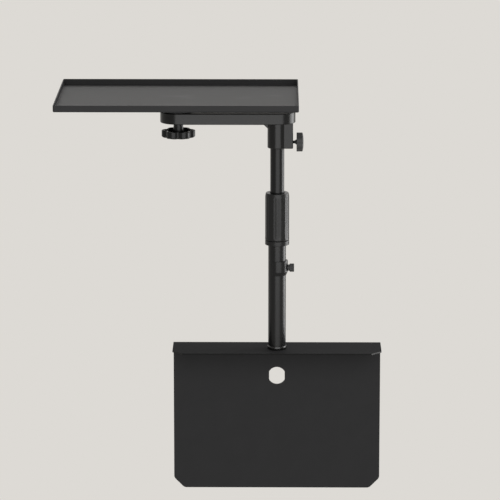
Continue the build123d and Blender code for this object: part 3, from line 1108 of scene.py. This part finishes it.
@dataclass
class TwistLock(SubAssembly):
    """Fixed ring and turning fluted sleeve that lock the upper tube."""

    run: float = 0.3 * MM
    fit: float = 0.1 * MM
    split_edge: float = 1.0 * MM
    cap_height: float = 6.0 * MM
    cap_taper: float = 1.0 * MM
    cap_edge: float = 1.2 * MM
    cap_round: float = 4.0 * MM
    mouth_round: float = 2.5 * MM
    flutes: int = 18
    flute_depth: float = 0.23 * MM
    flute_above_bottom: float = 3.2 * MM
    run_out: float = 1.2 * MM
    ring_columns: int = 128
    columns: int = 360
    row_step: float = 1.0 * MM

    def build(self) -> None:
        """Makes the ring and the sleeve."""
        tube, mast, ring, grip = (
            Extent.of(node) for node in ("lower_tube", "upper_tube", "lock_ring", "lock_grip"))
        edges = (SOFT, self.split_edge, CRISP, CRISP)
        collar = Skin.ring(tube.radius + self.fit, ring.radius, ring.heights, edges, self.ring_columns)
        collar = collar.placed(tube.axis)
        self.add(collar, "lock_ring_moulding", LOCK_PLASTIC, Body.STAND, Slot.LOCK, "lock_ring")

        outer = grip.radius
        low, high = grip.heights
        wide, narrow = tube.radius + self.run, mast.radius + self.run
        shoulder = tube.high[2] + self.run
        section = Line.rounded([
            (outer, low, self.split_edge), (outer, high - self.cap_height, self.cap_round),
            (outer - self.cap_taper, high, self.cap_edge), (narrow, high, self.mouth_round),
            (narrow, shoulder, SHARP), (wide, shoulder, SHARP), (wide, low, CRISP)]).refined(self.row_step)
        sleeve = Skin.turned(section, self.columns, Cap.RING, self.fluted(section, outer, low))
        sleeve = sleeve.placed(tube.axis)
        self.add(sleeve, "lock_grip_moulding", LOCK_PLASTIC, Body.LOCK, Slot.LOCK, "lock_grip")

    def fluted(self, section: Array, outer: float, low: float) -> Array:
        """Factor on the radius that cuts the flutes.

        The flutes stand upright, at the radius outer - depth * (1 + cos(n t)) / 2 for n of them and a turn t.
        They rise out of the wall over the run-out at the bottom, and at the top they run out by themselves
        where the taper of the cap passes inside them. Only the outer wall is cut.

        Args:
            section: Points (radius, height) of the sleeve.
            outer: Outer radius.
            low: Lowest height.

        Returns:
            Factors of shape (rows, columns).
        """
        across = (1 + np.cos(self.flutes * turns(self.columns))) / 2
        radius, height = section[:, :1], section[:, 1:]
        start = low + self.flute_above_bottom
        floor = outer - self.flute_depth * soft_step(height, start, start + self.run_out) * across
        outside = radius > outer - self.cap_taper - self.cap_edge
        return np.minimum(1.0, np.where(outside, floor / radius, 1.0))


@dataclass
class SafetyScrew(SubAssembly):
    """Small knurled screw in the saddle."""

    neck_length: float = 2.2 * MM
    neck_radius: float = 4.6 * MM
    bore: float = 2.0 * MM
    knurls: int = 18
    knurl_columns: int = 8
    knurl_depth: float = 0.4 * MM
    knurl_reach: float = 0.8
    edge: float = 0.6 * MM
    dish: float = 0.5 * MM
    dish_rim: float = 0.62
    dish_floor: float = 0.55
    dish_middle: float = 0.1
    arc_steps: int = 6

    def build(self) -> None:
        """Makes the knurled head, its radius cut by depth * (1 + cos(n t)) / 2, and dresses the shank."""
        head = Extent.of("safety_screw_head")
        outer, length = head.size[2] / 2, head.size[0]
        section = Line.rounded([
            (self.bore, 0, 0), (self.neck_radius, 0, EASED), (self.neck_radius, self.neck_length, SOFT),
            (outer, self.neck_length, self.edge), (outer, length, self.edge),
            (self.dish_rim * outer, length, SOFT), (self.dish_floor * outer, length - self.dish, SOFT),
            (self.dish_middle * outer, length - self.dish, 0)], False, self.arc_steps).points
        columns = self.knurls * self.knurl_columns
        ridge = (1 + np.cos(self.knurls * turns(columns))) / 2
        radius, height = section[:, :1], section[:, 1:]
        start, end = self.neck_length + self.edge, length - self.edge
        band = soft_step(height, start - self.edge, start) * (1 - soft_step(height, end, end + self.edge))
        cut = self.knurl_depth / outer * band * (radius > self.knurl_reach * outer)
        skin = Skin.turned(section, columns, Cap.POLE, 1 - cut * ridge)
        skin = skin.placed((head.low[0], *head.middle[1:]), Stance.OUTWARD)
        # The head's lighter plastic is painted light.
        self.add(skin, "safety_screw_knurled", GRIP_LIT_PLASTIC, Body.SAFETY_SCREW, Slot.KNOB,
                 "safety_screw_head")
        self.dress("safety_screw_shank", BLACK_STEEL)


@dataclass
class StarKnob:
    """Lobed hand knob with a tapered neck, worked out with the middle of its outer face at height zero."""

    diameter: float
    core: float
    lobe: float
    thickness: float
    flat: float
    crown: float
    edge: float
    neck_base: float
    neck_top: float
    neck_length: float
    fillet: float
    hollow: float
    rim: float = 2.2 * MM
    draft: float = 0.4 * MM
    bore_share: float = 0.6
    lobes: int = 6
    columns: int = 40
    face_shares: tuple[float, float] = (0.1, 0.98)
    face_rows: int = 12
    back_rows: int = 4

    def skin(self) -> Skin:
        """Loops from the middle of the outer face, over the rim and the hollow back, up the neck to its end.

        A loop is k ((1 - b) (P - i N) + b r U): the lobed outline P moved in by i along its normals N,
        blended by b to a circle of radius r on the same rays U, and scaled by k. Its height is
        h + (1 - h / thickness) c t^2 outside the hollow, with h that of a plain disc, c the crown and t the
        share of the way from the edge of the flat to the tip of a lobe.

        Returns:
            The knob's surface.
        """
        star = Line.star(self.lobes, self.diameter / 2, self.core / 2, self.lobe, self.columns)
        circle = star.bored(1.0)
        crown = np.linspace(*self.face_shares, self.face_rows)
        hold = (1 + Line.HOLD) * self.edge
        floor, inside = self.thickness - self.hollow, self.rim + self.draft
        rim = Line.rounded([
            (hold, 0, 0), (0, 0, self.edge), (0, self.thickness, self.edge),
            (self.rim, self.thickness, SOFT), (inside, floor, SOFT),
            (inside + 2 * SOFT, floor, 0)], False).points
        base, top = self.neck_base / 2, self.neck_top / 2
        end = self.thickness + self.neck_length
        neck = Line.rounded([
            (base + (1 + Line.HOLD) * self.fillet, floor, 0), (base, floor, self.fillet), (top, end, SOFT),
            (self.bore_share * top, end, 0)], False).points
        back = np.linspace(0, 1, self.back_rows + 2)[1:-1]

        def column(*parts: Union[Array, float]) -> Array:
            """Sets out one number for each loop.

            Args:
                parts: Numbers for the outer face, the rim, the back and the neck, in that order.

            Returns:
                The numbers, of shape (loops, 1, 1).
            """
            counts = (len(crown), len(rim), len(back), len(neck))
            filled = [np.broadcast_to(part, count) for part, count in zip(parts, counts)]
            return np.concatenate(filled)[:, None, None]

        scale = column(crown, 1.0, 1.0, 1.0)
        inset = column(hold, rim[:, 0], rim[-1, 0], 0.0)
        blend = column(0.0, 0.0, back, 1.0)
        radius = column(0.0, 0.0, neck[0, 0], neck[:, 0])
        height = column(0.0, rim[:, 1], floor, neck[:, 1])[:, :, 0]
        outside = column(1.0, rim[:, 0] < self.rim, 0.0, 0.0)[:, :, 0]
        plan = scale * ((1 - blend) * (star.points - inset * star.normals) + blend * radius * circle.points)
        spread = np.linalg.norm(plan, axis=-1)
        fall = np.clip((2 * spread - self.flat) / (self.diameter - self.flat), 0, 1) ** 2
        height = height + outside * (1 - height / self.thickness) * self.crown * fall
        return Skin.of_loops(np.dstack([plan, height]), Cap.POLE)


@dataclass
class ClampHub(SubAssembly):
    """Sleeve with a flat-sided lug under the arm, its gusset, and the knob and screw that clamp it."""

    run: float = 0.3 * MM
    hub_diameter: float = 28.0 * MM
    lug_width: float = 21.0 * MM
    lug_round: float = 1.5 * MM
    lug_slope: float = math.radians(60)
    root_round: float = 2.0 * MM
    arc_steps: int = 12
    edge: float = 1.1 * MM
    gusset_reach: float = 9.2 * MM
    gusset_height: float = 8.7 * MM
    gusset_width: float = 8.0 * MM
    gusset_round: float = 2.5 * MM
    gusset_edge: float = 0.5 * MM
    sink: float = 2.0 * MM
    thread: float = 4.4 * MM
    thread_pitch: float = 0.8 * MM
    thread_depth: float = 0.4 * MM
    thread_rows: int = 10
    thread_columns: int = 48
    tip_taper: float = 0.15
    knob: StarKnob = field(default_factory=lambda: StarKnob(
        diameter=27.2 * MM, core=25.0 * MM, lobe=8.0 * MM, thickness=9.8 * MM, flat=8.0 * MM,
        crown=1.5 * MM, edge=0.7 * MM, neck_base=9.0 * MM, neck_top=4.9 * MM, neck_length=2.4 * MM,
        fillet=1.2 * MM, hollow=1.2 * MM))

    def build(self) -> None:
        """Makes the sleeve, the gusset, the knob and the screw."""
        mast, hub = Extent.of("upper_tube"), Extent.of("clamp_hub")
        outline = self.plan(hub.high[0] - mast.middle[0])
        sleeve = Skin.walled(outline, hub.heights, self.edge, outline.bored(mast.radius + self.run))
        self.add(sleeve.placed(mast.axis), "clamp_hub_sleeve", ARM_COAT, Body.ARM, Slot.ARM, "clamp_hub")

        root, top = -self.hub_diameter / 2, hub.high[2]
        bottom, half = top - self.gusset_height, self.gusset_width / 2
        web = Line.rounded([
            (root + self.sink, bottom, EASED), (root + self.sink, top, EASED),
            (root - self.gusset_reach, top, EASED), (root, bottom, self.gusset_round)])
        rib = Skin.walled(web, (-half, half), self.gusset_edge).placed(mast.axis, Stance.ON_EDGE)
        self.add(rib, "clamp_hub_gusset", ARM_COAT, Body.ARM, Slot.ARM)

        knob, screw = Extent.of("hub_knob"), Extent.of("hub_screw")
        middle = (knob.middle[1], screw.middle[2])
        star = self.knob.skin().placed((knob.high[0], *middle), Stance.TO_POLE)
        # The hub knob's lighter plastic is painted light.
        self.add(star, "hub_knob_star", GRIP_LIT_PLASTIC, Body.CLAMP_KNOB, Slot.KNOB, "hub_knob")
        rod = self.rod(self.thread / 2, screw.size[0]).placed((screw.low[0], *middle), Stance.OUTWARD)
        self.add(rod, "hub_screw_thread", BLACK_STEEL, Body.CLAMP_KNOB, Slot.SCREW, "hub_screw")

    def plan(self, reach: float) -> Line:
        """Plan of the hub: a round sleeve whose sides run on along tangents into the lug's flat sides.

        Args:
            reach: Distance of the lug's end from the pole's axis.

        Returns:
            The closed outline.
        """
        r, side, slope = self.hub_diameter / 2, self.lug_width / 2, self.lug_slope
        shoulder = r * math.tan((QUARTER_TURN - slope) / 2)
        root = r * math.cos(slope) + (r * math.sin(slope) - side) * math.tan(slope)
        upper = [(reach, side, self.lug_round), (root, side, self.root_round), (shoulder, r, r), (-r, r, r)]
        lower = [(x, -y, radius) for x, y, radius in reversed(upper)]
        return Line.rounded(upper + lower, steps=self.arc_steps)

    def rod(self, radius: float, length: float) -> Skin:
        """Screw thread: the radius falls by depth * |2 frac(z / p - t / 2 pi) - 1| at height z and turn t.

        The cut fades in at the tapered tip and out before the head.

        Args:
            radius: Outer radius of the thread.
            length: Length of the screw.

        Returns:
            The screw with its tip at height zero.
        """
        pitch, columns = self.thread_pitch, self.thread_columns
        z = np.linspace(0, length, int(length / pitch * self.thread_rows))[:, None]
        wave = np.abs(2 * ((z / pitch - turns(columns) / FULL_TURN) % 1) - 1)
        rise = soft_step(z, 0, pitch)
        fade = rise * (1 - soft_step(z, length - pitch, length))
        factor = 1 - self.tip_taper * (1 - rise) - self.thread_depth / radius * wave * fade
        return Skin.turned(np.column_stack([np.full(len(z), radius), z]), columns, Cap.POLE, factor)


@dataclass
class SwingArm(SubAssembly):
    """Flat arm with full round ends, its rubbed sides glossier than its top and underside, which are painted
    lighter as sheen.
    """

    edge: float = 0.9 * MM
    level: float = 0.98
    arc_steps: int = 36

    def build(self) -> None:
        """Makes the arm, with the duller coat, painted lighter as sheen, on the faces whose normal is as good
        as upright.
        """
        arm = Extent.of("swing_arm")
        outline = Line.rectangle(arm.middle, arm.size, arm.size[1] / 2, self.arc_steps)
        bar = Skin.walled(outline, arm.heights, self.edge)
        made = self.add(bar, "swing_arm_bar", ARM_COAT, Body.ARM, Slot.ARM, "swing_arm")
        # The upright-facing faces get the lighter copy of the coat, a painted sheen.
        flat = np.abs(self.faces(made, "normal")[:, 2]) > self.level
        self.recoat(made, flat.astype(int), ARM_FLAT_SHEEN_COAT)


@dataclass
class TrayPivot(SubAssembly):
    """Washer, boss and bracket that carry the tray on the arm, and the knob that clamps them."""

    bore: float = 8.6 * MM
    columns: int = 128
    boss_edge: float = 0.9 * MM
    bracket_round: float = 10.0 * MM
    bracket_edge: float = 0.5 * MM
    arc_steps: int = 12
    knob: StarKnob = field(default_factory=lambda: StarKnob(
        diameter=47.7 * MM, core=38.6 * MM, lobe=9.0 * MM, thickness=10.2 * MM, flat=41.0 * MM,
        crown=1.2 * MM, edge=0.8 * MM, neck_base=15.4 * MM, neck_top=13.2 * MM, neck_length=11.2 * MM,
        fillet=1.5 * MM, hollow=6.0 * MM))

    def build(self) -> None:
        """Makes the washer, the boss, the bracket and the knob, and dresses the screw."""
        washer, boss, bracket, knob = (
            Extent.of(node) for node in ("pivot_washer", "pivot_boss", "tray_bracket", "tray_knob"))
        disc = self.ring(washer, EASED).placed(boss.axis)
        self.add(disc, "pivot_washer_disc", BUSH_NYLON, Body.ARM, Slot.BUSH, "pivot_washer")
        turning = self.ring(boss, self.boss_edge).placed(boss.axis)
        self.add(turning, "pivot_boss_turning", ARM_COAT, Body.TRAY, Slot.ARM, "pivot_boss")
        outline = Line.rectangle(bracket.middle, bracket.size, self.bracket_round, self.arc_steps)
        plate = Skin.walled(outline, bracket.heights, self.bracket_edge)
        self.add(plate, "tray_bracket_plate", TRAY_COAT, Body.TRAY, Slot.TRAY, "tray_bracket")
        star = self.knob.skin().placed((*knob.middle[:2], knob.low[2]))
        self.add(star, "tray_knob_star", KNOB_PLASTIC, Body.TRAY_CLAMP, Slot.KNOB, "tray_knob")
        self.dress("tray_screw", SCREW_STEEL)

    def ring(self, box: Extent, edge: float) -> Skin:
        """Ring with the pivot's bore that fills a box, its outer edges rounded by a radius."""
        return Skin.ring(self.bore / 2, box.radius, box.heights, (edge, edge, EASED, EASED), self.columns)


@dataclass
class Tray(SubAssembly):
    """Shallow sheet tray with a lip on all four sides."""

    sheet: float = 1.5 * MM
    bend_outside: float = 1.9 * MM
    bend_inside: float = 0.6 * MM
    corner: float = 2.0 * MM
    corner_inside: float = 0.5 * MM
    corner_steps: int = 10

    def build(self) -> None:
        """Makes the tray.

        A section of (inset, height) points runs from under the floor round the bend, over the lip and down to
        the floor inside. Each of its points makes a loop, a rounded rectangle that is smaller by the inset on
        all sides.
        """
        tray = Extent.of("tray_pan")
        low, high = tray.heights
        floor, deep = low + self.sheet, 2 * (self.sheet + self.bend_inside)
        section = Line.rounded([
            (deep, low, 0), (0, low, self.bend_outside), (0, high, SOFT), (self.sheet, high, SOFT),
            (self.sheet, floor, self.bend_inside), (deep, floor, 0)], False).points
        corners = np.maximum(self.corner - section[:, 0], self.corner_inside)
        plan = np.stack([
            Line.rectangle(tray.middle, tray.size - 2 * inset, corner, self.corner_steps).points
            for inset, corner in zip(section[:, 0], corners)])
        height = np.broadcast_to(section[:, 1:], plan.shape[:2])
        skin = Skin.of_loops(np.dstack([plan, height]), Cap.STRIPS)
        self.add(skin, "tray_pressing", TRAY_COAT, Body.TRAY, Slot.TRAY, "tray_pan")


@dataclass(frozen=True)
class Softbox:
    """Soft rectangular light that faces a point, its brightness as a share of white."""

    name: str
    place: tuple[float, float, float]
    aim: tuple[float, float, float]
    size: tuple[float, float]
    brightness: float

    def build(self) -> None:
        """Makes the light, unseen by the camera itself."""
        lamp = bpy.data.lights.new(self.name, "AREA")
        lamp.shape, lamp.size, lamp.size_y = "RECTANGLE", *self.size
        lamp.energy = self.brightness * math.pi * self.size[0] * self.size[1]
        made = bpy.data.objects.new(self.name, lamp)
        away = np.array(self.place) - np.array(self.aim)
        level = math.hypot(away[0], away[1])
        made.location = self.place
        made.rotation_euler = (math.atan2(level, away[2]), 0, math.atan2(away[0], -away[1]))
        made.visible_camera = False
        bpy.context.scene.collection.objects.link(made)


@dataclass
class Studio:
    """Pale floor, soft lights and the camera."""

    pale: tuple[float, float, float, float] = (0.723, 0.701, 0.665, 1.0)
    white: tuple[float, float, float, float] = (1.0, 1.0, 1.0, 1.0)
    ambient: float = 0.22
    floor_height: float = -0.75
    floor_reach: float = 60.0
    camera_place: tuple[float, float, float] = (-0.00078, -4.53474, 1.23880)
    camera_pitch: float = math.radians(90 - 12.3257)
    camera_yaw: float = math.radians(0.4848)
    sensor: float = 36.0
    lens: float = 231.31
    lights: tuple[Softbox, ...] = (
        Softbox("front_softbox", (0.465, -2.6, 0.9), (0.465, 0.0, 0.9), (3.03, 2.8), 3.7),
        Softbox("side_softbox", (1.92, 0.55, 0.45), (0.0, 0.0, 0.3), (1.4, 1.8), 7.0),
        Softbox("top_softbox", (-0.2, 0.3, 2.6), (-0.1, 0.0, 0.3), (4.4, 3.4), 0.1),
        Softbox("back_softbox", (0.0, 2.4, 2.0), (0.0, 0.0, 0.45), (4.0, 1.6), 1.75),
    )

    def build(self) -> None:
        """Sets the view, the world, the floor, the lights and the camera."""
        scene = bpy.context.scene
        scene.view_settings.view_transform = "Standard"
        world = bpy.data.worlds.new("studio_surround")
        scene.world = world
        graph = Graph(world)
        dim = graph.node("ShaderNodeBackground", {}, {"Color": self.white, "Strength": self.ambient})
        seen = graph.node("ShaderNodeBackground", {}, {"Color": self.pale, "Strength": 1.0})
        graph.node("ShaderNodeOutputWorld", {}, {"Surface": self.shown(graph, dim, seen)})
        self.floor()
        for light in self.lights:
            light.build()
        self.camera()

    @staticmethod
    def shown(graph: Graph, lit: Value, seen: Value) -> Value:
        """Mixes two shaders by the kind of ray.

        Args:
            graph: Graph that the nodes go into.
            lit: Shader for the rays that light the stand.
            seen: Shader for rays from the camera and those that a surface mirrors or lets through.

        Returns:
            The mixed shader.
        """
        camera, glossy, through = (
            graph.node("ShaderNodeLightPath", output=name)
            for name in ("Is Camera Ray", "Is Glossy Ray", "Is Transmission Ray"))
        looked_at = (camera + glossy + through).above(0.0, 1.0)
        return graph.node("ShaderNodeMixShader", {}, {0: looked_at, 1: lit, 2: seen})

    def floor(self) -> None:
        """Makes the floor, a flat square of one even colour to the camera and of plain paint to the light."""
        corner = np.array([(-1, -1), (1, -1), (1, 1), (-1, 1)]) * self.floor_reach
        points = np.column_stack([corner, np.full(len(corner), self.floor_height)])
        made = Skin(points, np.array([(0, 1, 2, 3)])).thing("studio_floor")
        material = bpy.data.materials.new("studio_floor_paint")
        graph = Graph(material)
        paint = graph.node("ShaderNodeBsdfDiffuse", {}, {"Color": self.pale})
        even = graph.node("ShaderNodeEmission", {}, {"Color": self.pale, "Strength": 1.0})
        graph.node("ShaderNodeOutputMaterial", {}, {"Surface": self.shown(graph, paint, even)})
        made.data.materials.append(material)

    def camera(self) -> None:
        """Makes the camera at the photograph's place and angle."""
        view = bpy.data.cameras.new("stand_view")
        view.sensor_width, view.lens, view.clip_end = self.sensor, self.lens, 2 * self.floor_reach
        made = bpy.data.objects.new("stand_view", view)
        made.location = self.camera_place
        made.rotation_euler = (self.camera_pitch, 0, self.camera_yaw)
        bpy.context.scene.collection.objects.link(made)
        bpy.context.scene.camera = made


def main() -> None:
    """Builds the stand's groups in order, then the studio."""
    logging.basicConfig(level=logging.INFO, format="%(name)s %(message)s")
    for group in (InsertPlate, PoleFoot, Pole, TwistLock, SafetyScrew, ClampHub, SwingArm, TrayPivot, Tray):
        group().build()
    Studio().build()


if __name__ == "__main__":
    main()
